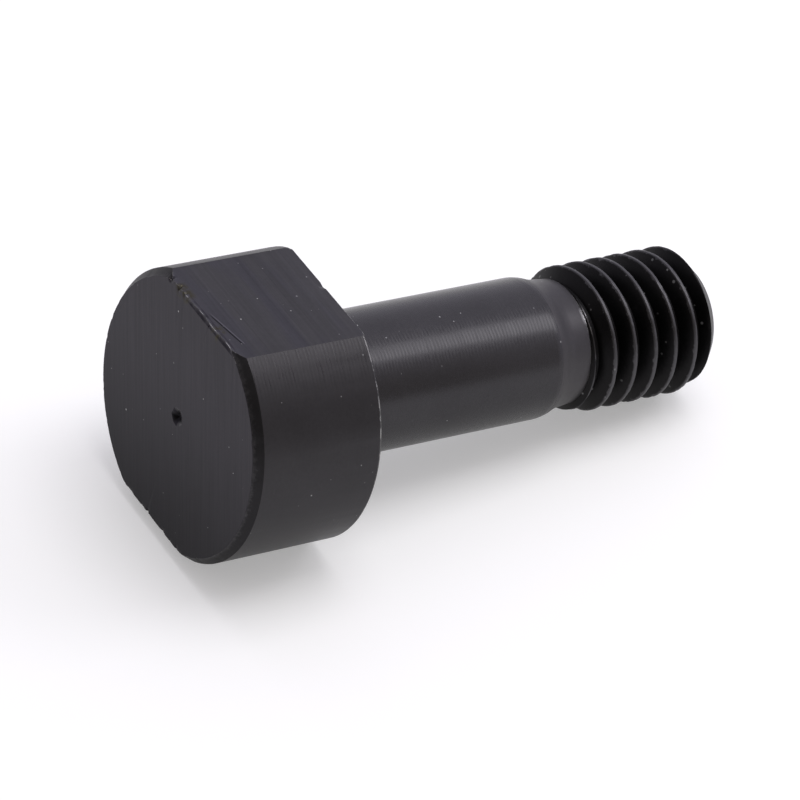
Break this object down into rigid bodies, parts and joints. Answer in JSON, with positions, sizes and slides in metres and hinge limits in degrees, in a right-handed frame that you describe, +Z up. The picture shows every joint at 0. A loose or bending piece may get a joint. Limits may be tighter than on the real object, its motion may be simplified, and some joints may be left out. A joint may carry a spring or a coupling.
{
  "type": "bolt",
  "caption": "Turned black steel bolt with wrench flats on a round head, a plain shoulder, a tapered neck and a coarse right-hand thread.",
  "frame": {"origin": "middle of the bolt's bounding box, on the surface that it rests on", "axes": "+Z up, +X from the head towards the thread, with the bolt's own axis dipping towards the thread as it lies at rest, and its upper wrench flat facing up"},
  "size_m": [0.0392, 0.0182, 0.0168],
  "materials": {
    "black_steel": "black oxide over turned and milled steel, satin"
  },
  "bodies": {
    "root": {"bolt": "black_steel"}
  },
  "joints": []
}
